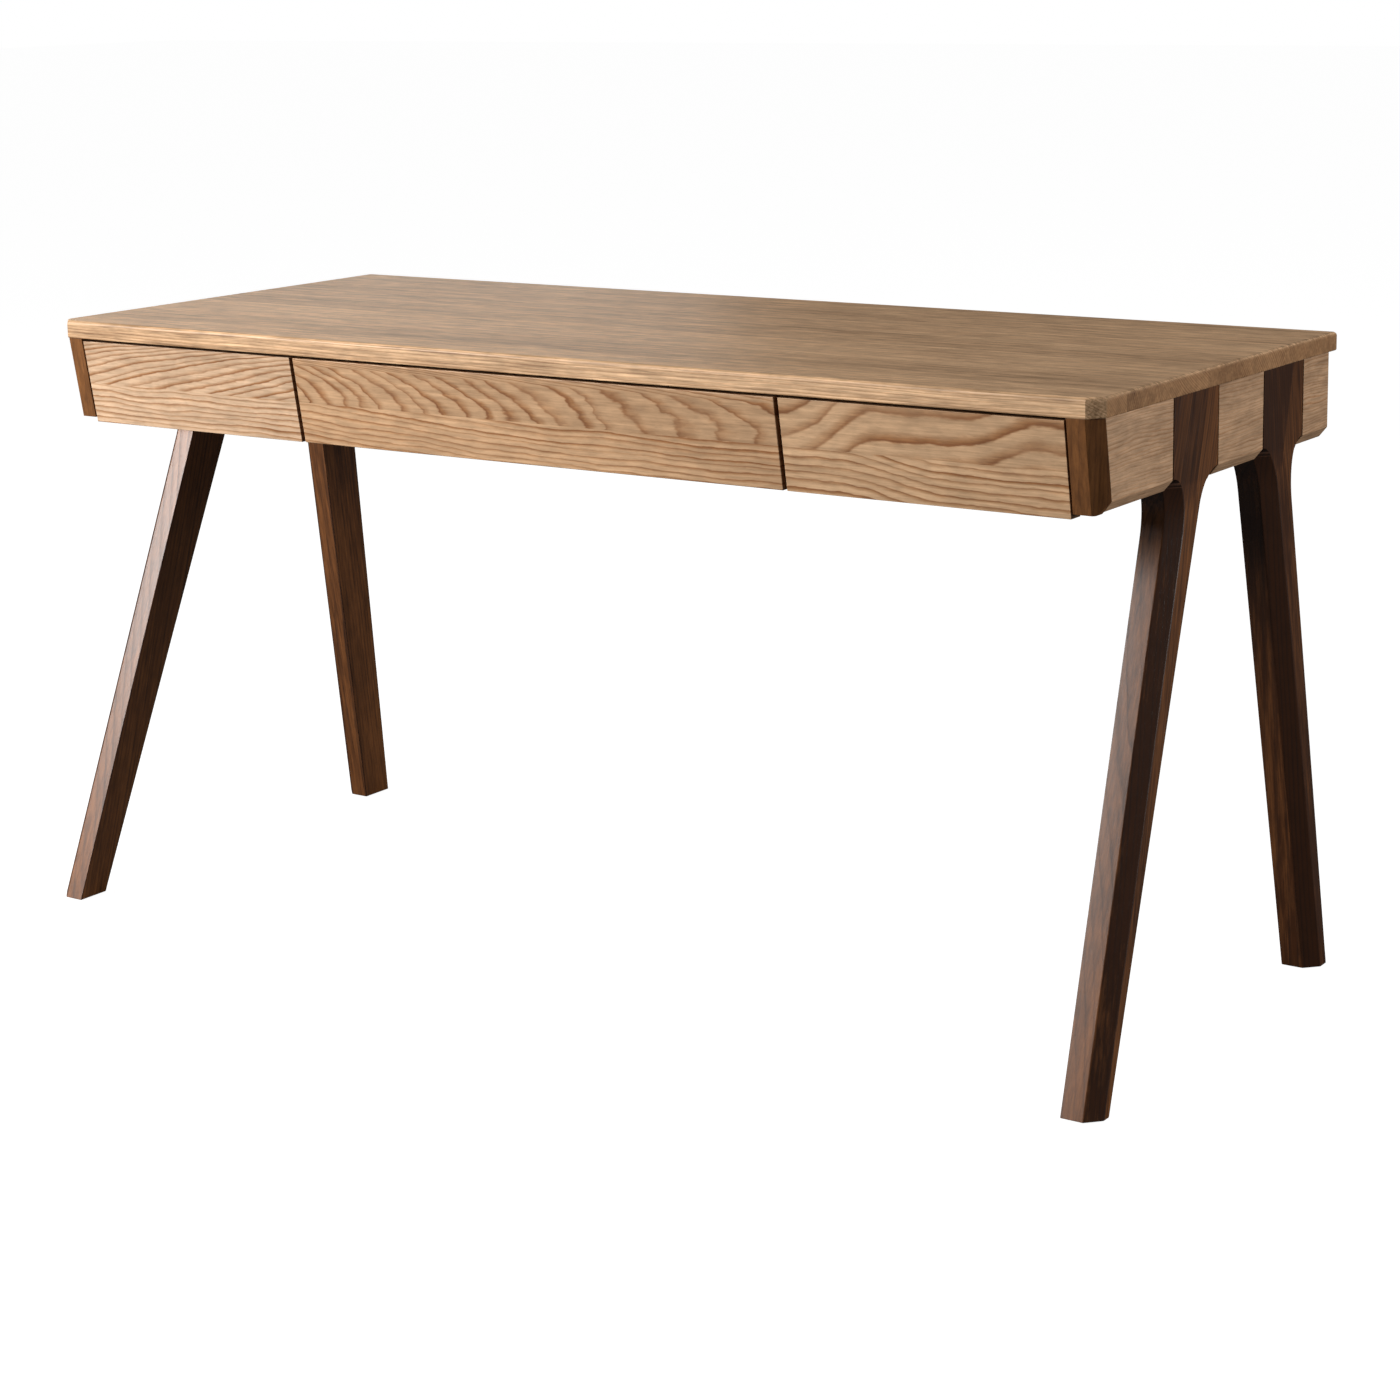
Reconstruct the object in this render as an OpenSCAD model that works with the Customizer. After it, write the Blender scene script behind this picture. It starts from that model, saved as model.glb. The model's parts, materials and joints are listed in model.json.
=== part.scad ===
// Writing desk: a solid oak desktop on a shallow oak body that holds three drawers side by side,
// standing on four splayed walnut legs. The legs' wide heads are let into the sides of the body.
//
// The desk stands on z = 0. X runs along its width, -Y is the side that the user sits at, and
// x = 0, y = 0 is the middle of the floor area that it covers. The design below is drawn with
// y = 0 at the middle of the desktop's depth, and placed() moves it to that origin.

/* [Desktop] */
// Width of the desktop
top_w = 1460; // [1400:10:1600]
// Depth of the desktop
top_d = 600; // [590:1:610]
// Thickness of the desktop
top_t = 22; // [18:1:28]
// Height of the desktop above the floor
desk_h = 750; // [735:1:765]
// Size of the cut across each front corner
corner_cut = 16; // [0:1:25]

/* [Body] */
// How far the drawer fronts reach below the desktop
front_drop = 107; // [104:1:112]
// How far the bottom of a drawer front stands back from its top
front_lean = 18; // [10:1:24]
// How far the side panels reach below the desktop
side_drop = 99.4; // [96:0.2:102]
// Width of the bevel along the bottom of a side panel
bevel_w = 10; // [4:1:14]
// Height of the bevel along the bottom of a side panel
bevel_h = 12; // [6:1:16]
// How far the desktop overhangs the body at the back
back_overhang = 17; // [5:1:25]
// How far the desktop overhangs the body at each side
side_overhang = 2; // [0:0.5:4]
// Thickness of the side panels
panel_t = 20; // [18:1:22]
// Thickness of the inner sides, the dividers and the back rail
board_t = 18; // [16:1:20]
// Thickness of the bottom panel
bottom_t = 9; // [6:1:10]

/* [Drawers] */
// Distance from the middle of the desk to the gap beside the centre drawer
gap_x = 344; // [320:1:360]
// Gap between neighbouring drawer fronts
front_gap = 5; // [3:0.5:7]
// Gap between an outer drawer front and its corner block
block_gap = 2; // [1:0.5:3]
// Gap between the desktop and the drawer fronts
top_gap = 3; // [2:0.5:4]
// Thickness of a drawer front
front_t = 20; // [18:1:22]
// Thickness of the sides and the back of a drawer box
box_t = 12; // [10:1:14]
// How far a drawer pulls out
drawer_travel = 400; // [300:10:420]

/* [Legs] */
// Thickness of a leg
leg_t = 44; // [40:1:46]
// Width of the bevels along the outer corners of a leg
leg_bevel = 16; // [12:1:18]
// How far a foot stands outside the side of the body
splay_x = 26; // [10:1:32]
// Shadow gap in front of each leg head
head_gap = 4; // [2:0.5:6]

/* [Hidden] */
$fn = 32;

OAK = "burlywood";
OAK_INSIDE = "wheat";
WALNUT = "saddlebrown";
STEEL = "lightsteelblue";
eps = 0.01;

// Levels and planes of the body
under_z = desk_h - top_t;               // underside of the desktop
front_z0 = under_z - front_drop;        // bottom of the drawer fronts
front_z1 = under_z - top_gap;           // top of the drawer fronts
side_z0 = under_z - side_drop;          // bottom of the side panels
head_z0 = side_z0 + bevel_h;            // where the leg heads begin to narrow
block_z0 = side_z0 - 2;                 // bottom of the corner blocks
floor_z = side_z0 + bottom_t;           // top of the bottom panel
side_x = top_w / 2 - side_overhang;     // outer face of the body
head_x = side_x - leg_t;                // inner face of the leg heads
wall_x = head_x - board_t;              // inner face of the inner sides
divider_x = gap_x - board_t / 2;        // inner face of a divider
body_y1 = top_d / 2 - back_overhang;    // back of the body
rail_y0 = body_y1 - board_t;            // front of the back rail

// The leaning plane of the drawer fronts
face_inset = 1;
lean = front_lean / front_drop;
lean_angle = atan(lean);
front_depth = front_t / cos(lean_angle);
face_reveal = 1.5;
function face_y(z) = -top_d / 2 + face_inset + lean * (under_z - z);
function behind_y(z) = face_y(z) + front_depth;

// Corner blocks: a narrow front face, a bevel, and a rebate that the side panel laps into
block_w = 36.5;
block_face_w = 21.5;
block_bevel = 17;
block_depth = 34;
block_x = side_x - block_w;             // inner face of a corner block

// Legs: each edge of the outer face is a straight line from the foot to the head, with a
// quarter ellipse that widens it to the head. Depths are those of the outer face.
// Each edge is [y on the floor, y that its line reaches at head_z0, y of the head, flare height].
FRONT_EDGES = [[-323.5, -78, -122.5, 68], [-312, -44, -14, 38]];
REAR_EDGES = [[240, 137, 105.5, 54], [256, 173, 212, 70]];
bevel_d = 16.5;
head_recess = 1;
flare_h = 70;
flare_steps = 14;
glide_t = 2;
glide_r = 9;

// Drawer boxes and slides
slide_space = 13;
slide_h = 35;
slide_len = 450;
slide_y0 = -260;
slide_z = floor_z + 39.4;
sheet = 1.2;
box_z0 = floor_z + 6.4;
box_z1 = box_z0 + 66;
box_y1 = slide_y0 + slide_len;
groove_z = box_z0 + 6;
ply_t = 6;
groove_d = 5.5;

// Each drawer: x of its front's ends, and of the two walls that carry it
LEFT = [-(block_x - block_gap), -(gap_x + front_gap / 2), -wall_x, -(divider_x + board_t)];
CENTRE = [-(gap_x - front_gap / 2), gap_x - front_gap / 2, -divider_x, divider_x];
RIGHT = [gap_x + front_gap / 2, block_x - block_gap, divider_x + board_t, wall_x];

// Fixings
bolt_r = 4;
bolt_len = 43;
insert_r = 6;
insert_len = 20;
insert_x = head_x + 7;
BOLT_Z = [floor_z + 11.4, under_z - 20];
BOLT_Y = [-68, 159];
dowel_r = 4;
dowel_len = 26;
DOWEL_Z = [floor_z + 18, under_z - 23];
screw_r = 1.75;
screw_head_r = 3.5;
screw_head_t = 1.5;
bracket_screw_len = 14;
slide_screw_len = 10;
front_screw_len = 26;
front_screw_z = slide_z + 6;
front_screw_inset = 60;
bracket_leg = 22;
bracket_w = 16;
bracket_t = 2;
BRACKET_Y = [-200, 60];
BRACKET_X = [-500, 0, 500];
SLIDE_SCREW_Y = [slide_y0 + 30, slide_y0 + 225, slide_y0 + 420];

// The middle of the floor area, seen from the middle of the desktop's depth
origin_y = (edge_y(FRONT_EDGES[0], glide_t) - bevel_d + top_d / 2) / 2;

// ---- helpers ----

module placed() { translate([0, -origin_y, 0]) children(); }

// Solid between two corners
module block(a, b) { translate(a) cube(b - a); }

// Outline of (y, z) points, from x0 to x1
module along_x(x0, x1, points) {
    translate([x0, 0, 0]) rotate([90, 0, 90]) linear_extrude(x1 - x0) polygon(points);
}

// Outline of (x, z) points, from y0 to y1
module along_y(y0, y1, points) {
    translate([0, y1, 0]) rotate([90, 0, 0]) linear_extrude(y1 - y0) polygon(points);
}

// Plan outline that follows the leaning front plane, between two levels. y = 0 is the plane.
module leaning(z0, z1) {
    intersection() {
        translate([0, face_y(z0), z0]) rotate([lean_angle, 0, 0])
            translate([0, 0, -100]) linear_extrude(z1 - z0 + 200) children();
        block([-top_w, -top_d, z0], [top_w, top_d, z1]);
    }
}

// The two sides of the desk, as one or as both
module right_side() { placed() children(); }
module left_side() { placed() mirror([1, 0, 0]) children(); }
module both_sides() { children(); mirror([1, 0, 0]) children(); }

// ---- fixings: a shape is drawn at its places, and its shank is cut from the wood there ----

// Screw whose head sits on z = 0 and whose shank points along +Z
module screw(length) {
    translate([0, 0, -screw_head_t]) cylinder(r = screw_head_r, h = screw_head_t);
    shank(length);
}

module shank(length) { cylinder(r = screw_r, h = length); }

// Steel angle whose corner is at a wall and the underside of the desktop; it points along +X
module bracket() {
    difference() {
        along_y(-bracket_w / 2, bracket_w / 2, [
            [0, 0], [bracket_leg, 0], [bracket_leg, -bracket_t], [bracket_t, -bracket_t],
            [bracket_t, -bracket_leg], [0, -bracket_leg]
        ]);
        at_bracket_screws() shank(bracket_screw_len);
    }
}

module at_bracket_screws() {
    translate([bracket_leg - 7, 0, -bracket_t]) children();
    translate([bracket_t, 0, -bracket_leg + 7]) rotate([0, -90, 0]) children();
}

// Where the brackets are: on the inner sides, on the dividers and on the back rail
BRACKETS = [
    for (y = BRACKET_Y) [[wall_x, y, under_z], [0, 0, 180]],
    for (y = BRACKET_Y) [[-wall_x, y, under_z], [0, 0, 0]],
    for (y = BRACKET_Y) [[divider_x + board_t, y, under_z], [0, 0, 0]],
    for (y = BRACKET_Y) [[-divider_x - board_t, y, under_z], [0, 0, 180]],
    for (x = BRACKET_X) [[x, rail_y0, under_z], [0, 0, -90]]
];

module at_brackets() {
    for (b = BRACKETS) translate(b[0]) rotate(b[1]) children();
}

module bracket_holes() { at_brackets() at_bracket_screws() shank(bracket_screw_len); }

// The slide screws of a drawer: from its cabinet rails outwards, and from its own rails inwards
module at_cabinet_screws(d) {
    for (y = SLIDE_SCREW_Y) {
        translate([d[2] + sheet, y, slide_z]) rotate([0, -90, 0]) children();
        translate([d[3] - sheet, y, slide_z]) rotate([0, 90, 0]) children();
    }
}

module at_drawer_screws(d) {
    for (y = SLIDE_SCREW_Y) {
        translate([box_x0(d) - sheet, y, slide_z]) rotate([0, 90, 0]) children();
        translate([box_x1(d) + sheet, y, slide_z]) rotate([0, -90, 0]) children();
    }
}

module cabinet_screw_holes() {
    for (d = [LEFT, CENTRE, RIGHT]) at_cabinet_screws(d) shank(slide_screw_len);
}

// The screws that hold a drawer's front to its box, square to the leaning plane
module at_front_screws(d) {
    x0 = box_x0(d) + front_screw_inset;
    x1 = box_x1(d) - front_screw_inset;
    z = front_screw_z;
    for (x = [x0, x1]) translate([x, behind_y(z) + box_t / cos(lean_angle), z])
        rotate([90 + lean_angle, 0, 0]) children();
}

// Dowels of the right side: along Y between panels and heads, and along X into the back rail
DOWEL_Y = [
    FRONT_EDGES[0][2] - head_gap / 2, FRONT_EDGES[1][2],
    REAR_EDGES[0][2] - head_gap / 2, REAR_EDGES[1][2]
];

module right_dowels() {
    for (z = DOWEL_Z) {
        for (y = DOWEL_Y) translate([side_x - panel_t / 2, y - dowel_len / 2, z])
            rotate([-90, 0, 0]) cylinder(r = dowel_r, h = dowel_len);
        translate([side_x - panel_t - dowel_len / 2, rail_y0 + board_t / 2, z])
            rotate([0, 90, 0]) cylinder(r = dowel_r, h = dowel_len);
    }
}

// A cylinder at each leg bolt of the right side, from x0 to x1
module at_right_bolts(x0, x1, r) {
    for (y = BOLT_Y, z = BOLT_Z) translate([x0, y, z]) rotate([0, 90, 0]) cylinder(r = r, h = x1 - x0);
}

// ---- desktop and body ----

module desktop() {
    x1 = top_w / 2;
    y0 = -top_d / 2;
    color(OAK) placed() difference() {
        translate([0, 0, under_z]) linear_extrude(top_t) polygon([
            [-x1 + corner_cut, y0], [x1 - corner_cut, y0], [x1, y0 + corner_cut],
            [x1, -y0], [-x1, -y0], [-x1, y0 + corner_cut]
        ]);
        bracket_holes();
    }
}

// x of the outer side at a height: upright, and leaning inwards along the bottom
function outer_x(z) = side_x - bevel_w * max(0, head_z0 - z) / bevel_h;

module corner_block() {
    rebate_x = side_x - panel_t;
    intersection() {
        leaning(block_z0, under_z) polygon([
            [block_x, 0], [block_x + block_face_w, 0], [side_x, block_bevel],
            [rebate_x, block_bevel], [rebate_x, block_depth], [block_x, block_depth]
        ]);
        along_y(-top_d / 2 - 10, 0, [
            [block_x - 10, block_z0 - 10], [outer_x(block_z0 - 10), block_z0 - 10],
            [side_x, head_z0], [side_x, desk_h], [block_x - 10, desk_h]
        ]);
    }
}

module corner_block_left() { color(WALNUT) left_side() corner_block(); }
module corner_block_right() { color(WALNUT) right_side() corner_block(); }

// A length of side panel with the bevel along its bottom
module side_panel(y0, y1) {
    difference() {
        along_y(y0, y1, [
            [side_x - panel_t, side_z0], [outer_x(side_z0), side_z0], [side_x, head_z0],
            [side_x, under_z], [side_x - panel_t, under_z]
        ]);
        leaning(side_z0 - 5, under_z + 5) polygon([
            [side_x - 50, -50], [side_x + 50, -50],
            [side_x + 50, block_bevel], [side_x - 50, block_bevel]
        ]);
        right_dowels();
    }
}

module side_panel_front() { side_panel(-top_d / 2, FRONT_EDGES[0][2] - head_gap); }
module side_panel_middle() { side_panel(FRONT_EDGES[1][2], REAR_EDGES[0][2] - head_gap); }
module side_panel_rear() { side_panel(REAR_EDGES[1][2], body_y1); }
module side_panel_left_front() { color(OAK) left_side() side_panel_front(); }
module side_panel_left_middle() { color(OAK) left_side() side_panel_middle(); }
module side_panel_left_rear() { color(OAK) left_side() side_panel_rear(); }
module side_panel_right_front() { color(OAK) right_side() side_panel_front(); }
module side_panel_right_middle() { color(OAK) right_side() side_panel_middle(); }
module side_panel_right_rear() { color(OAK) right_side() side_panel_rear(); }

// Board behind the right-hand leg heads, which carries them and the outer drawer's slide
module inner_side() {
    difference() {
        along_x(wall_x, head_x, [
            [behind_y(side_z0) + face_reveal, side_z0], [rail_y0, side_z0], [rail_y0, under_z],
            [behind_y(under_z) + face_reveal, under_z]
        ]);
        at_right_bolts(wall_x - eps, head_x + eps, bolt_r);
        cabinet_screw_holes();
        bracket_holes();
    }
}

module inner_side_left() { color(OAK_INSIDE) left_side() inner_side(); }
module inner_side_right() { color(OAK_INSIDE) right_side() inner_side(); }

module divider() {
    difference() {
        along_x(divider_x, divider_x + board_t, [
            [behind_y(floor_z) + face_reveal, floor_z], [rail_y0, floor_z], [rail_y0, under_z],
            [behind_y(under_z) + face_reveal, under_z]
        ]);
        cabinet_screw_holes();
        bracket_holes();
    }
}

module divider_left() { color(OAK_INSIDE) left_side() divider(); }
module divider_right() { color(OAK_INSIDE) right_side() divider(); }

module back_rail() {
    x1 = side_x - panel_t;
    color(OAK) placed() difference() {
        block([-x1, rail_y0, side_z0], [x1, body_y1, under_z]);
        both_sides() right_dowels();
        bracket_holes();
    }
}

module bottom_panel() {
    color(OAK_INSIDE) placed()
        block([-wall_x, behind_y(side_z0) + face_reveal, side_z0], [wall_x, rail_y0, floor_z]);
}

// ---- legs ----

// y of one edge of a leg's outer face at a height: its line, and its flare below the head
function flare(e, z) =
    let (u = min(1, max(0, (z - head_z0 + e[3]) / e[3])))
    (e[2] - e[1]) * (1 - sqrt(1 - u * u));
function edge_y(e, z) = z >= head_z0 ? e[2] : e[0] + (e[1] - e[0]) * z / head_z0 + flare(e, z);

// Levels of a leg's rings: the foot, then even steps of arc that meet the bottom of the body and
// the bottom of the head, and the top
side_arc = asin(1 - bevel_h / flare_h);
function flare_z(arc) = head_z0 - flare_h * (1 - sin(arc));
LEG_Z = concat(
    [glide_t],
    [for (i = [0:flare_steps]) flare_z(side_arc * i / flare_steps)],
    [for (i = [1:flare_steps]) flare_z(side_arc + (90 - side_arc) * i / flare_steps)],
    [under_z]
);

// Six-sided ring of a right-hand leg at a height. Its inner outline is deeper than the outer face
// by the bevels, and no deeper than the head where it is inside the body.
function leg_ring(edges, z) =
    let (
        x = side_x - head_recess + splay_x * max(0, 1 - z / side_z0),
        x_in = side_x - leg_t + splay_x * max(0, 1 - z / side_z0),
        front = edge_y(edges[0], z),
        back = edge_y(edges[1], z),
        front_in = z < side_z0 ? front - bevel_d : max(front - bevel_d, edges[0][2]),
        back_in = z < side_z0 ? back + bevel_d : min(back + bevel_d, edges[1][2])
    )
    [
        [x_in, front_in, z], [x - leg_bevel, front_in, z], [x, front, z],
        [x, back, z], [x - leg_bevel, back_in, z], [x_in, back_in, z]
    ];

module leg_solid(edges) {
    n = len(LEG_Z);
    polyhedron(
        points = [for (z = LEG_Z) each leg_ring(edges, z)],
        faces = [
            [5, 4, 3, 2, 1, 0],
            [for (i = [0:5]) (n - 1) * 6 + i],
            for (k = [0:n - 2], i = [0:5])
                let (a = k * 6 + i, b = k * 6 + (i + 1) % 6)
                each [[a, b, b + 6], [a, b + 6, a + 6]]
        ]
    );
}

module leg(edges) {
    difference() {
        leg_solid(edges);
        right_dowels();
        at_right_bolts(head_x - eps, insert_x + insert_len, insert_r);
    }
}

module leg_front_left() { color(WALNUT) left_side() leg(FRONT_EDGES); }
module leg_front_right() { color(WALNUT) right_side() leg(FRONT_EDGES); }
module leg_rear_left() { color(WALNUT) left_side() leg(REAR_EDGES); }
module leg_rear_right() { color(WALNUT) right_side() leg(REAR_EDGES); }

// Felt glide under the middle of each foot
module foot_glides() {
    glide_x = side_x + splay_x - leg_t / 2 - 2;
    color("dimgray") placed() both_sides() for (e = [FRONT_EDGES, REAR_EDGES])
        translate([glide_x, (e[0][0] + e[1][0]) / 2, 0]) cylinder(r = glide_r, h = glide_t);
}

// ---- drawers ----

function box_x0(d) = d[2] + slide_space;
function box_x1(d) = d[3] - slide_space;

// The leaning front, which the user sees and pulls
module drawer_front(d) {
    color(OAK) placed() difference() {
        leaning(front_z0, front_z1) polygon([[d[0], 0], [d[1], 0], [d[1], front_t], [d[0], front_t]]);
        at_front_screws(d) shank(front_screw_len);
    }
}

// Front board of the box behind it, between the sides and on the bottom
module drawer_inner_front(d) {
    x0 = box_x0(d) + box_t;
    x1 = box_x1(d) - box_t;
    y1 = front_t + box_t;
    color(OAK_INSIDE) placed() difference() {
        leaning(groove_z + ply_t, box_z1)
            polygon([[x0, front_t], [x1, front_t], [x1, y1], [x0, y1]]);
        at_front_screws(d) shank(front_screw_len);
    }
}

// Side of a drawer box between x0 and x1, with the groove for the bottom from x_groove inwards
module drawer_side(d, x0, x1, x_groove) {
    color(OAK_INSIDE) placed() difference() {
        along_x(x0, x1, [
            [behind_y(box_z0), box_z0], [box_y1, box_z0], [box_y1, box_z1], [behind_y(box_z1), box_z1]
        ]);
        translate([x_groove, -top_d, groove_z]) cube([groove_d, 2 * top_d, ply_t]);
        at_drawer_screws(d) shank(slide_screw_len);
    }
}

module drawer_back(d) {
    color(OAK_INSIDE) placed()
        block([box_x0(d) + box_t, box_y1 - box_t, groove_z + ply_t], [box_x1(d) - box_t, box_y1, box_z1]);
}

module drawer_bottom(d) {
    grip = box_t - groove_d;
    color("moccasin") placed() along_x(box_x0(d) + grip, box_x1(d) - grip, [
        [behind_y(groove_z), groove_z], [box_y1, groove_z], [box_y1, groove_z + ply_t],
        [behind_y(groove_z + ply_t), groove_z + ply_t]
    ]);
}

module drawer_side_left(d) { drawer_side(d, box_x0(d), box_x0(d) + box_t, box_x0(d) + box_t - groove_d); }
module drawer_side_right(d) { drawer_side(d, box_x1(d) - box_t, box_x1(d), box_x1(d) - box_t); }

// The screws that ride with a drawer: those of its front and those of its slide rails
module drawer_screws(d) {
    color(STEEL) placed() {
        at_front_screws(d) screw(front_screw_len);
        at_drawer_screws(d) screw(slide_screw_len);
    }
}

module left_drawer_front() { drawer_front(LEFT); }
module left_drawer_side_left() { drawer_side_left(LEFT); }
module left_drawer_side_right() { drawer_side_right(LEFT); }
module left_drawer_inner_front() { drawer_inner_front(LEFT); }
module left_drawer_back() { drawer_back(LEFT); }
module left_drawer_bottom() { drawer_bottom(LEFT); }
module left_drawer_screws() { drawer_screws(LEFT); }
module centre_drawer_front() { drawer_front(CENTRE); }
module centre_drawer_side_left() { drawer_side_left(CENTRE); }
module centre_drawer_side_right() { drawer_side_right(CENTRE); }
module centre_drawer_inner_front() { drawer_inner_front(CENTRE); }
module centre_drawer_back() { drawer_back(CENTRE); }
module centre_drawer_bottom() { drawer_bottom(CENTRE); }
module centre_drawer_screws() { drawer_screws(CENTRE); }
module right_drawer_front() { drawer_front(RIGHT); }
module right_drawer_side_left() { drawer_side_left(RIGHT); }
module right_drawer_side_right() { drawer_side_right(RIGHT); }
module right_drawer_inner_front() { drawer_inner_front(RIGHT); }
module right_drawer_back() { drawer_back(RIGHT); }
module right_drawer_bottom() { drawer_bottom(RIGHT); }
module right_drawer_screws() { drawer_screws(RIGHT); }

// ---- drawer slides: three nested channels of folded steel sheet on each side of a drawer ----

// Channel that opens away from its web. u is the distance from the cabinet wall, h its height.
function channel(u_web, u_tip, h) =
    let (t = u_tip > u_web ? sheet : -sheet)
    [
        [u_web, -h / 2], [u_tip, -h / 2], [u_tip, -h / 2 + sheet], [u_web + t, -h / 2 + sheet],
        [u_web + t, h / 2 - sheet], [u_tip, h / 2 - sheet], [u_tip, h / 2], [u_web, h / 2]
    ];
CABINET_RAIL = channel(0, 9.5, slide_h);
MIDDLE_RAIL = channel(3.4, 10.8, slide_h - 4.4);
DRAWER_RAIL = channel(slide_space, 5.8, slide_h - 9.8);

// One member at both sides of a drawer, with its screw holes
module slide_pair(d, outline) {
    color(STEEL) placed() difference() {
        for (side = [0, 1]) translate([d[2 + side], 0, slide_z]) mirror([side, 0, 0])
            along_y(slide_y0, slide_y0 + slide_len, outline);
        children();
    }
}

module cabinet_rails(d) { slide_pair(d, CABINET_RAIL) at_cabinet_screws(d) shank(slide_screw_len); }
module middle_rails(d) { slide_pair(d, MIDDLE_RAIL); }
module drawer_rails(d) { slide_pair(d, DRAWER_RAIL) at_drawer_screws(d) shank(slide_screw_len); }

module left_slide_cabinet_rails() { cabinet_rails(LEFT); }
module left_slide_middle_rails() { middle_rails(LEFT); }
module left_slide_drawer_rails() { drawer_rails(LEFT); }
module centre_slide_cabinet_rails() { cabinet_rails(CENTRE); }
module centre_slide_middle_rails() { middle_rails(CENTRE); }
module centre_slide_drawer_rails() { drawer_rails(CENTRE); }
module right_slide_cabinet_rails() { cabinet_rails(RIGHT); }
module right_slide_middle_rails() { middle_rails(RIGHT); }
module right_slide_drawer_rails() { drawer_rails(RIGHT); }

// ---- fixings of the body ----

module top_brackets() { color(STEEL) placed() at_brackets() bracket(); }
module bracket_screws() {
    color(STEEL) placed() at_brackets() at_bracket_screws() screw(bracket_screw_len);
}
module slide_screws() {
    color(STEEL) placed() for (d = [LEFT, CENTRE, RIGHT]) at_cabinet_screws(d) screw(slide_screw_len);
}

// Machine bolt through an inner side into the threaded insert of a leg head
module leg_bolts() {
    head_r = 7;
    head_t = 4.5;
    color(STEEL) placed() both_sides() {
        at_right_bolts(wall_x - head_t, wall_x, head_r);
        at_right_bolts(wall_x, wall_x + bolt_len, bolt_r);
    }
}

module leg_inserts() {
    color("goldenrod") placed() both_sides() difference() {
        at_right_bolts(insert_x, insert_x + insert_len, insert_r);
        at_right_bolts(insert_x - eps, insert_x + insert_len + eps, bolt_r);
    }
}

module side_dowels() { color(OAK_INSIDE) placed() both_sides() right_dowels(); }

desktop();
corner_block_left();
corner_block_right();
side_panel_left_front();
side_panel_left_middle();
side_panel_left_rear();
side_panel_right_front();
side_panel_right_middle();
side_panel_right_rear();
leg_front_left();
leg_front_right();
leg_rear_left();
leg_rear_right();
inner_side_left();
inner_side_right();
divider_left();
divider_right();
back_rail();
bottom_panel();
left_drawer_front();
left_drawer_side_left();
left_drawer_side_right();
left_drawer_inner_front();
left_drawer_back();
left_drawer_bottom();
centre_drawer_front();
centre_drawer_side_left();
centre_drawer_side_right();
centre_drawer_inner_front();
centre_drawer_back();
centre_drawer_bottom();
right_drawer_front();
right_drawer_side_left();
right_drawer_side_right();
right_drawer_inner_front();
right_drawer_back();
right_drawer_bottom();
left_slide_cabinet_rails();
left_slide_middle_rails();
left_slide_drawer_rails();
centre_slide_cabinet_rails();
centre_slide_middle_rails();
centre_slide_drawer_rails();
right_slide_cabinet_rails();
right_slide_middle_rails();
right_slide_drawer_rails();
left_drawer_screws();
centre_drawer_screws();
right_drawer_screws();
top_brackets();
bracket_screws();
slide_screws();
leg_bolts();
leg_inserts();
side_dowels();
foot_glides();
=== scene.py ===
import json
import math

import bmesh
import bpy
from mathutils import Matrix, Vector

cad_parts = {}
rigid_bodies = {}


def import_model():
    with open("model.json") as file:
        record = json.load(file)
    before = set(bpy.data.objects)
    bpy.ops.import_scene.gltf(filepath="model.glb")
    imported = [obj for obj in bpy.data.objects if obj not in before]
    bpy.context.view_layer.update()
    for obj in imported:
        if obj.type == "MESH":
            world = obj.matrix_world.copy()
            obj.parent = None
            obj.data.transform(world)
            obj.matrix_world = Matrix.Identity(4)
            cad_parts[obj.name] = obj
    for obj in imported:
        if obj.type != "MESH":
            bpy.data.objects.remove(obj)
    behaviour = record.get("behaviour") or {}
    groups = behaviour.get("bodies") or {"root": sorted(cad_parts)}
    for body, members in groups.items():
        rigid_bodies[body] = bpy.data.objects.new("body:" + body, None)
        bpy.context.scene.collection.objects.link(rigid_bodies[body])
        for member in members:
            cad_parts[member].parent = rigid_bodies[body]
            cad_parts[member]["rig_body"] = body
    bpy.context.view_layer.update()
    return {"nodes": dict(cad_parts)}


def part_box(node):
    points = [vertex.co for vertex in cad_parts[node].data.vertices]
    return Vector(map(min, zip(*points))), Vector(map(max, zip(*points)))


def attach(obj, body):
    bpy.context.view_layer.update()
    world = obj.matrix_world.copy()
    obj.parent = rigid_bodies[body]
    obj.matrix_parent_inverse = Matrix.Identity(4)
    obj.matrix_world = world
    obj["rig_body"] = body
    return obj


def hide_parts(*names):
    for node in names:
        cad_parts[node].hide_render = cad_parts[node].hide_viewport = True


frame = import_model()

# The looks of a writing desk: a solid oak desktop on an oak body with three drawers, and four
# splayed walnut legs. Metres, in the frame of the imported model. The outer boards and the drawers'
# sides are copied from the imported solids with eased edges; hidden boards and hardware keep their
# own mesh.

MM = 0.001
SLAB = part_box("desktop")
BODY_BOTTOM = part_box("side_panel_right_middle")[0].z
SIDE_X = SLAB[1].x


# ---- camera, floor and light ----

CAMERA_AT = Vector((2.0840, -2.9447, 1.1942))
CAMERA_LOOKS_AT = Vector((0.0678, 0.0710, 0.4759))
CAMERA_LENS = 77.57
CAMERA_SHIFT = (-0.0317, -0.1099)
CAMERA_ROLL = -0.0157

# Softboxes: place, target, width, height and power
KEY_LIGHT = (Vector((-2.50, -2.85, 1.85)), Vector((0.0, 0.0, 0.45)), 2.4, 1.3, 190.0)
SIDE_LIGHT = (Vector((3.9, 1.3, 1.6)), Vector((0.7, 0.0, 0.6)), 1.6, 1.2, 72.0)
BACK_LIGHT = (Vector((-2.6, 2.4, 1.15)), Vector((-0.3, 0.1, 0.75)), 1.8, 0.9, 8.0)
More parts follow.
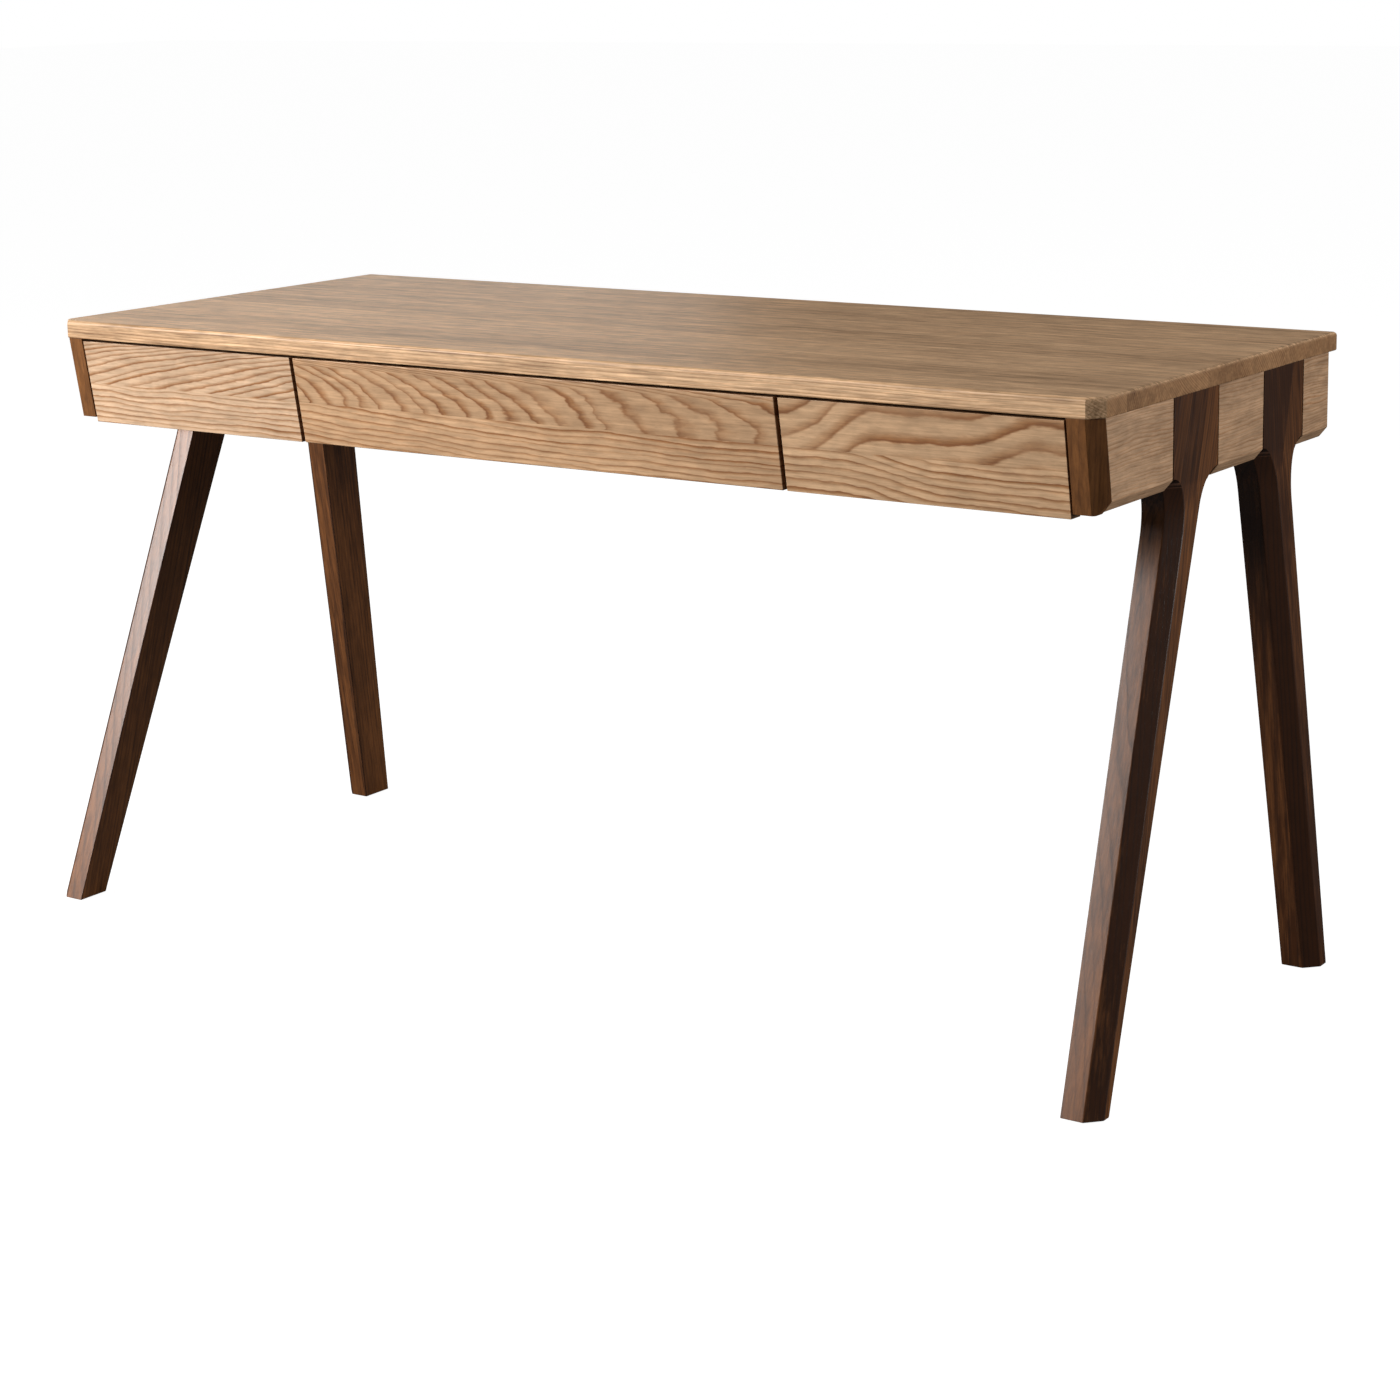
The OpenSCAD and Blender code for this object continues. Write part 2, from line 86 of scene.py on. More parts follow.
# Light of the backdrop, glow of the floor, and how white the floor is to the camera and to the desk
AMBIENT = 0.09
FLOOR_GLOW = 0.96
FLOOR_SEEN = 0.30
FLOOR_REFLECTED = 0.12
FLOOR_SIZE = 60.0


def aimed(at, target, roll=0.0):
    """Matrix that places a camera or a light at a point and turns its -Z to a target."""
    forward = (target - at).normalized()
    right = forward.cross(Vector((0, 0, 1))).normalized()
    up = right.cross(forward)
    turned_right = math.cos(roll) * right + math.sin(roll) * up
    turned_up = math.cos(roll) * up - math.sin(roll) * right
    axes = Matrix((turned_right, turned_up, -forward)).transposed()
    return Matrix.Translation(at) @ axes.to_4x4()


def add_object(name, data):
    obj = bpy.data.objects.new(name, data)
    bpy.context.scene.collection.objects.link(obj)
    return obj


def make_camera():
    data = bpy.data.cameras.new("camera")
    data.lens = CAMERA_LENS
    data.sensor_width = 36.0
    data.shift_x, data.shift_y = CAMERA_SHIFT
    data.clip_start, data.clip_end = 0.05, 200.0
    camera = add_object("camera", data)
    camera.matrix_world = aimed(CAMERA_AT, CAMERA_LOOKS_AT, CAMERA_ROLL)
    bpy.context.scene.camera = camera


def softbox(name, at, target, width, height, power):
    data = bpy.data.lights.new(name, "AREA")
    data.shape = "RECTANGLE"
    data.size = width
    data.size_y = height
    data.energy = power
    light = add_object(name, data)
    light.matrix_world = aimed(at, target)


def grey(level):
    return (level, level, level, 1.0)


def by_viewer(tree, for_camera, for_desk, output_type):
    """Ends a node tree with one shader for what the camera sees, and one for all other light."""
    path = tree.nodes.new("ShaderNodeLightPath")
    mix = tree.nodes.new("ShaderNodeMixShader")
    out = tree.nodes.new(output_type)
    tree.links.new(path.outputs["Is Camera Ray"], mix.inputs[0])
    tree.links.new(for_desk.outputs[0], mix.inputs[1])
    tree.links.new(for_camera.outputs[0], mix.inputs[2])
    tree.links.new(mix.outputs[0], out.inputs["Surface"])


def make_world():
    """A white backdrop that gives only a weak light of its own."""
    world = bpy.data.worlds.new("studio")
    bpy.context.scene.world = world
    world.use_nodes = True
    tree = world.node_tree
    tree.nodes.clear()
    seen = tree.nodes.new("ShaderNodeBackground")
    seen.inputs["Color"].default_value = grey(1.0)
    light = tree.nodes.new("ShaderNodeBackground")
    light.inputs["Color"].default_value = grey(AMBIENT)
    by_viewer(tree, seen, light, "ShaderNodeOutputWorld")


def make_floor():
    """A plain white floor. What it gives back to the desk is dimmer than what the camera sees."""
    mesh = bpy.data.meshes.new("floor")
    half = FLOOR_SIZE / 2
    corners = [(-half, -half, 0), (half, -half, 0), (half, half, 0), (-half, half, 0)]
    mesh.from_pydata(corners, [], [(0, 1, 2, 3)])
    floor = add_object("floor", mesh)
    material = bpy.data.materials.new("studio_floor")
    material.use_nodes = True
    tree = material.node_tree
    tree.nodes.clear()
    glow = tree.nodes.new("ShaderNodeEmission")
    glow.inputs["Strength"].default_value = FLOOR_GLOW
    shade = tree.nodes.new("ShaderNodeBsdfDiffuse")
    shade.inputs["Color"].default_value = grey(FLOOR_SEEN)
    dim = tree.nodes.new("ShaderNodeBsdfDiffuse")
    dim.inputs["Color"].default_value = grey(FLOOR_REFLECTED)
    both = tree.nodes.new("ShaderNodeAddShader")
    tree.links.new(glow.outputs[0], both.inputs[0])
    tree.links.new(shade.outputs[0], both.inputs[1])
    by_viewer(tree, both, dim, "ShaderNodeOutputMaterial")
    mesh.materials.append(material)


bpy.context.scene.view_settings.view_transform = "Standard"
make_camera()
make_world()
make_floor()
softbox("key_light", *KEY_LIGHT)
softbox("side_light", *SIDE_LIGHT)
softbox("back_light", *BACK_LIGHT)


# ---- arithmetic on surfaces ----

class Num:
    """A number that varies over a surface. Arithmetic on it adds Math nodes to its material."""

    def __init__(self, graph, socket):
        self.graph = graph
        self.socket = socket

    def math(self, operation, *others):
        node = self.graph.nodes.new("ShaderNodeMath")
        node.operation = operation
        for place, value in zip(node.inputs, (self, *others)):
            self.graph.feed(place, value)
        return Num(self.graph, node.outputs[0])

    def __add__(self, other):
        return self.math("ADD", other)

    def __radd__(self, other):
        return self.math("ADD", other)

    def __sub__(self, other):
        return self.math("SUBTRACT", other)

    def __rsub__(self, other):
        return (self * -1.0).math("ADD", other)

    def __mul__(self, other):
        return self.math("MULTIPLY", other)

    def __rmul__(self, other):
        return self.math("MULTIPLY", other)

    def __truediv__(self, other):
        return self.math("MULTIPLY", 1.0 / other)

    def __pow__(self, other):
        return self.math("POWER", other)

    def floor(self):
        return self.math("FLOOR")

    def sine(self):
        return self.math("SINE")

    def size(self):
        return self.math("ABSOLUTE")

    def above(self, level):
        return self.math("GREATER_THAN", level)

    def most(self, other):
        return self.math("MAXIMUM", other)

    def step(self, low, high):
        """0 below low, 1 above high, and a smooth rise between them."""
        node = self.graph.nodes.new("ShaderNodeMapRange")
        node.interpolation_type = "SMOOTHSTEP"
        node.inputs["From Min"].default_value = low
        node.inputs["From Max"].default_value = high
        self.graph.feed(node.inputs["Value"], self)
        return Num(self.graph, node.outputs["Result"])


class Graph:
    """The nodes of one material, with a Principled shader at its end."""

    def __init__(self, name):
        self.material = bpy.data.materials.new(name)
        self.material.use_nodes = True
        self.nodes = self.material.node_tree.nodes
        self.links = self.material.node_tree.links
        self.shader = self.nodes["Principled BSDF"]

    def feed(self, place, value):
        """Puts a number, a colour or another node's result into a socket."""
        if isinstance(value, Num):
            value = value.socket
        if isinstance(value, bpy.types.NodeSocket):
            self.links.new(value, place)
        elif isinstance(value, tuple):
            place.default_value = (*value, 1.0)
        else:
            place.default_value = value

    def place(self):
        """x, y and z of a surface point."""
        coordinates = self.nodes.new("ShaderNodeTexCoord")
        split = self.nodes.new("ShaderNodeSeparateXYZ")
        self.links.new(coordinates.outputs["Object"], split.inputs[0])
        return [Num(self, socket) for socket in split.outputs]

    def normal(self):
        """x, y and z of the direction that the surface faces."""
        coordinates = self.nodes.new("ShaderNodeTexCoord")
        split = self.nodes.new("ShaderNodeSeparateXYZ")
        self.links.new(coordinates.outputs["Normal"], split.inputs[0])
        return [Num(self, socket) for socket in split.outputs]

    def noise(self, x, y, z, detail=2.0, rough=0.5):
        """Smooth noise of about 0 to 1, with features about one unit of x, y and z apart."""
        join = self.nodes.new("ShaderNodeCombineXYZ")
        for place, value in zip(join.inputs, (x, y, z)):
            self.feed(place, value)
        node = self.nodes.new("ShaderNodeTexNoise")
        node.inputs["Scale"].default_value = 1.0
        node.inputs["Detail"].default_value = detail
        node.inputs["Roughness"].default_value = rough
        self.links.new(join.outputs[0], node.inputs["Vector"])
        return Num(self, node.outputs["Fac"])

    def random(self, value):
        """A random number from 0 to 1 for each whole number."""
        node = self.nodes.new("ShaderNodeTexWhiteNoise")
        node.noise_dimensions = "1D"
        self.feed(node.inputs["W"], value)
        return Num(self, node.outputs["Value"])

    def eased_edge(self):
        """1 on eased edges and 0 elsewhere."""
        node = self.nodes.new("ShaderNodeAttribute")
        node.attribute_name = "eased_edge"
        return Num(self, node.outputs["Fac"])

    def blend(self, share, first, second, how="MIX"):
        node = self.nodes.new("ShaderNodeMix")
        node.data_type = "RGBA"
        node.blend_type = how
        self.feed(node.inputs["Factor"], share)
        self.feed(node.inputs[6], first)
        self.feed(node.inputs[7], second)
        return node.outputs[2]

    def bump(self, height, depth):
        node = self.nodes.new("ShaderNodeBump")
        node.inputs["Strength"].default_value = 1.0
        node.inputs["Distance"].default_value = depth
        self.feed(node.inputs["Height"], height)
        self.links.new(node.outputs[0], self.shader.inputs["Normal"])

    def set(self, socket, value):
        self.feed(self.shader.inputs[socket], value)


# ---- wood ----

# Each wood. Colours: early growth, the band and the thin line of late growth, pores; then the tint
# of end grain, which on the drawer fronts is also painted shade in the gaps round them. Strengths:
# rings, pores, fibres, and tone, the broad light and dark.
# stretch makes the fibres shorter, ragged and irregular disturb the rings, gloss is the range of
# roughness, shine the strength of reflections, and pore_depth is in millimetres.
OAK = dict(
    early=(0.590, 0.382, 0.224), band=(0.360, 0.165, 0.062), line=(0.250, 0.096, 0.031),
    pore=(0.180, 0.072, 0.026), rings=1.2, pores=0.45, fibres=1.0, stretch=1.0, tone=0.6,
    gloss=(0.40, 0.54), shine=0.45, pore_depth=0.07, end_grain_and_gap_shade=(0.80, 0.72, 0.62),
    ragged=0.20, irregular=1.2,
)
# The fronts' end tint is far darker than end grain alone: painted shade in the gaps beside and
# above them.
OAK_FRONT = dict(OAK, rings=1.4, fibres=0.75, pores=0.60, end_grain_and_gap_shade=(0.40, 0.34, 0.28))
# Each front's own colour; the left front's paler tint is partly its board and partly painted sheen
# of the key light.
OAK_FRONTS = {
    "left": dict(OAK_FRONT, early=(0.610, 0.408, 0.256)),
    "centre": dict(OAK_FRONT, early=(0.542, 0.330, 0.180)),
    "right": dict(OAK_FRONT, early=(0.615, 0.385, 0.215), ragged=0.10, irregular=0.5),
}
OAK_TOP = dict(
    OAK, early=(0.668, 0.424, 0.236), rings=0.80, fibres=1.6, tone=0.50, shine=0.3,
    end_grain_and_gap_shade=(0.62, 0.54, 0.46),
)
OAK_PANEL = dict(
    OAK, early=(0.480, 0.298, 0.172), rings=0.65, pores=0.80, stretch=1.6,
)
OAK_RAIL = dict(OAK, rings=0.50, fibres=1.3)
OAK_INSIDE = dict(
    OAK, early=(0.55, 0.40, 0.26), band=(0.45, 0.30, 0.18), line=(0.36, 0.22, 0.12),
    rings=0.6, pores=0.25, fibres=0.8,
)
WALNUT = dict(
    early=(0.150, 0.054, 0.015), band=(0.080, 0.027, 0.007), line=(0.034, 0.011, 0.003),
    pore=(0.020, 0.008, 0.003), rings=0.8, pores=0.45, fibres=1.8, stretch=1.0, tone=1.2,
    gloss=(0.32, 0.46), shine=0.48, pore_depth=0.08, end_grain_and_gap_shade=(0.60, 0.55, 0.50),
    ragged=0.24, irregular=1.2,
)
# The corner blocks' walnut is lighter than the legs', partly as painted light on bevels that the
# lamps hardly reach.
WALNUT_BLOCK = dict(
    WALNUT, early=(0.205, 0.080, 0.022), rings=0.40, fibres=0.9, gloss=(0.42, 0.56), shine=0.30,
)
BEECH = dict(OAK_INSIDE, early=(0.60, 0.40, 0.25), rings=0.3, pores=0.15)

# Tints of the darkest and lightest fibres, and of eased edges, made lighter as painted highlight
# and as wear
DARKER = (0.30, 0.25, 0.20)
LIGHTER = (1.55, 1.60, 1.66)
EDGE_HIGHLIGHT_AND_WEAR = (1.35, 1.35, 1.35)

# Where a surface begins to count as end grain or as an upper edge in painted shade, and where it
# fully does, as the cosine of the angle between the way it faces and the axis
END_FACE = (0.75, 0.97)


def wood(name, look, growth, grain="x", shade_top=False):
    """Wood whose grain runs along u. growth(graph, x, y, z) gives (g, u, v, w, tone): a new ring
    starts at each whole g, u v w are lengths along and across the grain, tone is about 0 to 1.
    grain is the axis that end grain faces; the flag for the top paints shade on the upper edge in
    the end tint, as in the gap under the desktop. The numbers that u, v and w are multiplied by
    are features per metre."""
    graph = Graph(name)
    g, u, v, w, tone = growth(graph, *graph.place())
    jitter = graph.noise(u * 60, v * 260, w * 260, detail=3.0, rough=0.6) - 0.5
    g = g + (graph.noise(g * 0.55, 0.0, 0.0, detail=1.0) - 0.5) * look["irregular"]
    g = g + jitter * look["ragged"]
    ring = g.floor()
    phase = g - ring
    line = phase.step(0.06, 0.16) * (1.0 - phase.step(0.16, 0.32))
    band = phase.step(0.0, 0.20) * (1.0 - phase.step(0.24, 0.66))
    uneven = graph.noise(u * 6, v * 40, w * 40, detail=2.0).step(0.25, 0.75)
    strength = (0.45 + 0.55 * graph.random(ring)) * (0.50 + 0.50 * uneven) * look["rings"]
    late = band * strength
    along = u * look["stretch"]
    fibre = graph.noise(along * 14, v * 340, w * 340, detail=4.0, rough=0.7)
    streak = graph.noise(along * 5 + 9.0, v * 130, w * 130, detail=3.0, rough=0.6)
    pore = graph.noise(u * 90, v * 1500, w * 1500, detail=1.0).step(0.58, 0.74)
    pore = pore * (0.35 + 0.65 * late)
    cloud = graph.noise(u * 2.2 + 3.0, v * 12, w * 12, detail=2.0)
    colour = graph.blend(late, look["early"], look["band"])
    colour = graph.blend(line * strength * 0.9, colour, look["line"])
    facing = dict(zip("xyz", graph.normal()))
    end_grain_and_gap_shade = facing[grain].size().step(*END_FACE)
    fibres = (fibre * 1.3 + streak * 0.7 - 1.0) * (1.0 - end_grain_and_gap_shade * 0.7)
    shade = fibres * look["fibres"] + (cloud + tone - 1.0) * look["tone"]
    tint = graph.blend(shade * 0.72 + 0.50, DARKER, LIGHTER)
    colour = graph.blend(1.0, colour, tint, "MULTIPLY")
    colour = graph.blend(pore * look["pores"], colour, look["pore"])
    # Eased edges lighter in patches: partly painted highlight, partly wear
    edge_patches = graph.noise(u * 40, v * 90, w * 90, detail=2.0).step(0.3, 0.7)
    colour = graph.blend(graph.eased_edge() * (0.35 + 0.65 * edge_patches), colour, EDGE_HIGHLIGHT_AND_WEAR, "MULTIPLY")
    # On the drawer fronts the end tint, and the upper edges, are painted shade for the gaps between
    # parts.
    if shade_top:
        end_grain_and_gap_shade = end_grain_and_gap_shade.most(facing["z"].step(*END_FACE))
    colour = graph.blend(end_grain_and_gap_shade, colour, look["end_grain_and_gap_shade"], "MULTIPLY")
    graph.set("Base Color", colour)
    low, high = look["gloss"]
    rough = low + (high - low) * (0.5 * late + 0.5 * fibre) + pore * 0.12
    graph.set("Roughness", rough)
    graph.set("Specular IOR Level", look["shine"])
    relief = fibre * 0.3 + streak * 0.1 - pore * 0.8
    graph.bump(relief, look["pore_depth"] * MM)
    return graph.material


# Height of the glue line in a drawer front, as a share of the front's height, how much lighter
# the board below it is, and how far apart in the tree the two boards are taken from
GLUE_LINE = 0.48
LOWER_BOARD_LIGHTER = 0.30
BOARDS_APART = 0.7


def front_growth(node, upper, lower):
    """Growth of a drawer front glued up from two boards, one above the other. upper and lower
    give the rings of each, from the share of the front's length and the share of the board's
    height away from the glue line."""
    low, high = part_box(node)
    length, height = high.x - low.x, high.z - low.z

    def growth(graph, x, y, z):
        along = (x - low.x) / length
        up = (z - low.z) / height
        depth = (y - low.y) * 20
        sway = graph.noise(x * 7, y * 20, z * 22, detail=2.0) - 0.5
        fine = graph.noise(x * 45, y * 60, z * 90, detail=2.0) - 0.5
        side = up.above(GLUE_LINE)
        above = ((up - GLUE_LINE) / (1 - GLUE_LINE)).most(0.0)
        below = (GLUE_LINE - up) / GLUE_LINE
        g_upper = upper(along, above, sway, fine) + depth
        g_lower = lower(along, below, sway, fine) + depth
        g = side * g_upper + (1.0 - side) * g_lower
        tone = 0.5 - (side - 0.5) * LOWER_BOARD_LIGHTER
        return g, x, z + side * BOARDS_APART, y, tone

    return growth


# Rings of the fronts' boards: diagonal arcs on the upper boards of the left and centre fronts, one
# long bend on that of the right front, and flowing lines along the lower boards.

def left_upper(along, up, sway, fine):
    return 5.5 * up + 2.0 * up ** 4.0 - along * 8.6 + sway * 1.2 + fine * 0.35 + 20.0


def left_lower(along, down, sway, fine):
    return down * 7.0 - along * 0.8 + sway * 3.0 + fine * 0.3 + 20.0


def centre_upper(along, up, sway, fine):
    bend = (0.15 - 0.06 * along) * up ** 1.6 + 0.9 * (up - 0.85).most(0.0)
    place = along + bend
    return (27.0 - 7.5 * place) * place + sway * 1.2 + fine * 0.60 + 5.0


def centre_lower(along, down, sway, fine):
    return down * 7.0 - along.step(-0.3, 0.8) * 4.0 + sway * 2.0 + fine * 0.3 + 20.0


def right_upper(along, up, sway, fine):
    line = 1.10 * along.step(0.0, 0.36) + 0.50 * along.step(0.66, 0.92) - 0.75
    return (up - line) * 2.1 + sway * 0.55 + fine * 0.22 + 10.0


def right_lower(along, down, sway, fine):
    drop = along.step(0.18, 0.58)
    return down * 5.4 - drop * 2.0 - along * 0.6 + sway * 1.8 + fine * 0.40 + 20.0


STAVE = 98 * MM

# Distance between growth rings
TOP_RINGS = 3.4 * MM
PANEL_RINGS = 3.8 * MM
RAIL_RINGS = 7.0 * MM
INSIDE_RINGS = 11.0 * MM
PLY_LAYERS = 1.2 * MM


def top_growth(graph, x, y, z):
    """Growth of the desktop: full-length staves side by side, each from its own part of a tree."""
    count = y / STAVE + 20.3
    stave = (count + 0.12 * (y * 31.0).sine()).floor()
    one = graph.random(stave)
    two = graph.random(stave + 50.0)
    three = graph.random(stave + 90.0)
    sway = graph.noise(x * 1.6 + one * 40.0, y * 9, z * 9, detail=2.0) - 0.5
    across = y * (0.6 + 0.7 * two) + (z - SLAB[0].z) * (0.4 + 0.6 * one)
    wander = x * (three - 0.5) * 0.016 + sway * 0.020
    g = (across + wander) / TOP_RINGS + one * 7.0 + 200.0
    facing_up = graph.normal()[2]
    streaks = graph.noise(x * 5 + one * 9.0, y * 90, z * 160, detail=4.0, rough=0.7) - 0.5
    # Faces that look up are painted lighter than the slab's edges, as painted light.
    tone = one * 0.35 + facing_up * 0.55 + streaks * 1.5
    return g, x + one * 3.0, y, z, tone


def panel_growth(graph, x, y, z):
    """Growth of the side panels: quiet, straight grain along the side."""
    sway = graph.noise(y * 7, z * 26, x * 26, detail=3.0) - 0.5
    g = z / PANEL_RINGS + sway * 5.0 + x * 60 + 20.0
    # The tone falls towards the rear as painted shade.
    return g, y, z, x, graph.noise(y * 3, z * 20, 0.0) - y * 0.9


def rail_growth(graph, x, y, z):
    """Growth of the back rail: along X, wider rings."""
    sway = graph.noise(x * 3, z * 16, y * 16, detail=2.0) - 0.5
    g = z / RAIL_RINGS + sway * 3.5 + y * 60 + 20.0
    return g, x, z, y, graph.noise(x * 2, z * 10, 0.0)


def box_growth(axis, spacing=INSIDE_RINGS):
    """Growth of a hidden board that lies along X or along Y."""
    def growth(graph, x, y, z):
        u, w = (x, y) if axis == "x" else (y, x)
        sway = graph.noise(u * 3, z * 14, w * 30, detail=2.0) - 0.5
        g = z / spacing + sway * 2.5 + w * 25 + 20.0
        return g, u, z, w, graph.noise(u * 2, z * 9, w * 4)

    return growth


# How light or dark each leg is painted, as painted light and shade: the rear right darkest, the
# front left lightest
LEG_PAINTED_LIGHT_AND_SHADE = {
    "leg_front_left": 0.25,
    "leg_front_right": 0.0,
    "leg_rear_left": -0.15,
    "leg_rear_right": -0.50,
}
LEG_RINGS_ACROSS = 6.0 * MM
LEG_RINGS_DEEP = 13.0 * MM
# How much of its box's depth a leg's middle line runs through from foot to head
LEG_RUN = 0.62
# Distance of the glue line in a head from the head's edge that is nearer to the middle of the
# desk, and how much the line leans
FRONT_SEAM = 50 * MM
REAR_SEAM = 55 * MM
SEAM_LEAN = 0.25


def leg_growth(node):
    """Growth of a leg: along the line from its foot to its head. The head is glued up of two
    boards of different tones. The chamfers get painted shade, and the head's forward faces a
    painted shadow, as in the gap beside the panel."""
    low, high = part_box(node)
    front = "front" in node
    run = (high.y - low.y) * (LEG_RUN if front else -LEG_RUN)
    direction = Vector((0.0, run, high.z - low.z)).normalized()
    seam_y = high.y - FRONT_SEAM if front else low.y + REAR_SEAM

    def growth(graph, x, y, z):
        u = y * direction.y + z * direction.z
        v = y * direction.z - z * direction.y
        sway = graph.noise(u * 3, v * 18, x * 18, detail=2.0) - 0.5
        g = v / LEG_RINGS_ACROSS + x / LEG_RINGS_DEEP + sway * 2.2 + 40.0
        head = z.step(BODY_BOTTOM - 30 * MM, BODY_BOTTOM)
        seam = (y - seam_y - (z - BODY_BOTTOM) * SEAM_LEAN).above(0.0)
        facing_x, facing_y, _ = graph.normal()
        # Painted shade on the oblique chamfer faces, and a painted shadow on the head's forward
        # faces beside the panel
        chamfer_shade = (facing_x * facing_y).size() * 2.0
        shadow_gap = head * (facing_y * -1.0).step(0.6, 0.9)
        tone = graph.noise(u * 2, v * 16, x * 16) + LEG_PAINTED_LIGHT_AND_SHADE[node]
        tone = tone - head * (0.35 - 0.45 * seam) - chamfer_shade * 0.80 - shadow_gap * 0.5
        return g, u, v, x, tone

    return growth


BLOCK_RINGS_X = 8.5 * MM
BLOCK_RINGS_Y = 11.0 * MM


def block_growth(graph, x, y, z):
    """Growth of the corner blocks: along their length, which stands nearly upright."""
    sway = graph.noise(x * 24, y * 24, z * 5, detail=2.0) - 0.5
    g = x / BLOCK_RINGS_X + y / BLOCK_RINGS_Y + sway * 2.4 + 40.0
    return g, z, x, y, graph.noise(x * 30, y * 30, z * 4)


# ---- boards with eased edges ----

TOP_ROUND = 4.5 * MM
BOTTOM_ROUND = 1.6 * MM
LEG_ROUND = 1.3 * MM
BOARD_ROUND = 0.8 * MM
DRAWER_SIDE_ROUND = 0.7 * MM
BLOCK_ROUND = 0.6 * MM

# Only edges at least this long and this far from flat are eased
SHORTEST_EDGE = 8 * MM
SHORTEST_LEG_EDGE = 0.05 * MM
EDGE_ANGLE = math.radians(18)
# Points this close are one point, and faces this nearly in one plane are one face
SAME_POINT = 0.002 * MM
SAME_PLANE = math.radians(0.4)
# How far inside the desktop's side the edges of a head's outer face may lie
OUTER_FACE_DEPTH = 3 * MM
# Edges sharper than this are shaded as edges
SHARP = math.radians(32)
# Steps across an eased edge, and across one whose radius is at least WIDE_ROUND
SEGMENTS = 2
WIDE_SEGMENTS = 4
WIDE_ROUND = 3 * MM


def refined(node, material, radius, shortest=SHORTEST_EDGE, wanted=None, radii=None):
    """Puts a copy of a CAD board with eased edges in its place.
    wanted(a, b) says if the edge between two points is eased, radii(a, b) gives its own radius."""
    source = frame["nodes"][node]
    bm = bmesh.new()
    bm.from_mesh(source.data)
    bmesh.ops.remove_doubles(bm, verts=bm.verts, dist=SAME_POINT)
    bmesh.ops.dissolve_limit(
        bm, angle_limit=SAME_PLANE, verts=bm.verts, edges=bm.edges,
        use_dissolve_boundaries=False,
    )
    eased_edge = bm.verts.layers.float.new("eased_edge")
    groups = {}
    for edge in bm.edges:
        if edge.calc_length() < shortest or edge.calc_face_angle_signed(0.0) < EDGE_ANGLE:
            continue
        a, b = [v.co.copy() for v in edge.verts]
        if wanted is not None and not wanted(a, b):
            continue
        size = radii(a, b) if radii is not None else radius
        groups.setdefault(size, []).append(edge)
    for face in ease(bm, groups):
        if face.is_valid:
            for vert in face.verts:
                vert[eased_edge] = 1.0
    mesh = bpy.data.meshes.new(node + "_board")
    bm.to_mesh(mesh)
    bm.free()
    for polygon in mesh.polygons:
        polygon.use_smooth = True
    mesh.set_sharp_from_angle(angle=SHARP)
    mesh.materials.append(material)
    piece = add_object(node + "_board", mesh)
    weighted = piece.modifiers.new("even_shading", "WEIGHTED_NORMAL")
    weighted.keep_sharp = True
    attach(piece, source["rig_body"])
    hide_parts(node)


def ease(bm, groups):
    """Rounds the edges of each radius, the largest first, and gives the faces that this makes."""
    made = []
    for size in sorted(groups, reverse=True):
        edges = [edge for edge in groups[size] if edge.is_valid]
        segments = SEGMENTS if size < WIDE_ROUND else WIDE_SEGMENTS
        result = bmesh.ops.bevel(
            bm, geom=edges, offset=size, offset_type="OFFSET", segments=segments, profile=0.5,
            affect="EDGES", clamp_overlap=False, loop_slide=True,
        )
        made += result["faces"]
    return made


def slab_radius(a, b):
    top = SLAB[1].z - MM
    if a.z > top and b.z > top:
        return TOP_ROUND
    return BOTTOM_ROUND


def slab_edge(a, b):
    """Only the edges round the top and the bottom of the slab."""
    return abs(a.z - b.z) < MM


def leg_edge(a, b):
    """Everything below the body, and only the outer face where the head stands in the body."""
    middle = (a + b) / 2
    if middle.z < BODY_BOTTOM - MM:
        return True
    on_outer_face = abs(middle.x) > SIDE_X - OUTER_FACE_DEPTH
    return on_outer_face and middle.z < SLAB[0].z - MM


oak_top = wood("oak_desktop", OAK_TOP, top_growth)
refined("desktop", oak_top, TOP_ROUND, wanted=slab_edge, radii=slab_radius)

FRONTS = {
    "left": (left_upper, left_lower),
    "centre": (centre_upper, centre_lower),
    "right": (right_upper, right_lower),
}
# Radius of the fronts' eased edges; those beside a corner block are crisper
FRONT_ROUND = {"left": 0.6 * MM, "centre": 1.2 * MM, "right": 0.6 * MM}
for name, (upper, lower) in FRONTS.items():
    node = name + "_drawer_front"
    growth = front_growth(node, upper, lower)
    # The fronts' upper edges get painted shade, for the gap under the desktop.
    look = wood("oak_" + node, OAK_FRONTS[name], growth, shade_top=True)
    refined(node, look, FRONT_ROUND[name])

oak_panel = wood("oak_side_panels", OAK_PANEL, panel_growth, grain="y")
oak_rail = wood("oak_back_rail", OAK_RAIL, rail_growth)
walnut_block = wood("walnut_corner_blocks", WALNUT_BLOCK, block_growth, grain="z")
for side in ("left", "right"):
    for part in ("front", "middle", "rear"):
        refined(f"side_panel_{side}_{part}", oak_panel, BOARD_ROUND)
    refined("corner_block_" + side, walnut_block, BLOCK_ROUND)
    for part in ("front", "rear"):
        node = f"leg_{part}_{side}"
        look = wood("walnut_" + node, WALNUT, leg_growth(node), grain="z")
        refined(node, look, LEG_ROUND, shortest=SHORTEST_LEG_EDGE, wanted=leg_edge)
refined("back_rail", oak_rail, BOARD_ROUND)

along_x = wood("oak_inside_along_x", OAK_INSIDE, box_growth("x"))
along_y = wood("oak_inside_along_y", OAK_INSIDE, box_growth("y"), grain="y")
ply = wood("plywood", OAK_INSIDE, box_growth("y", PLY_LAYERS))
beech = wood("beech_dowels", BEECH, box_growth("y"))


# ---- drawer boxes, hidden boards and hardware ----

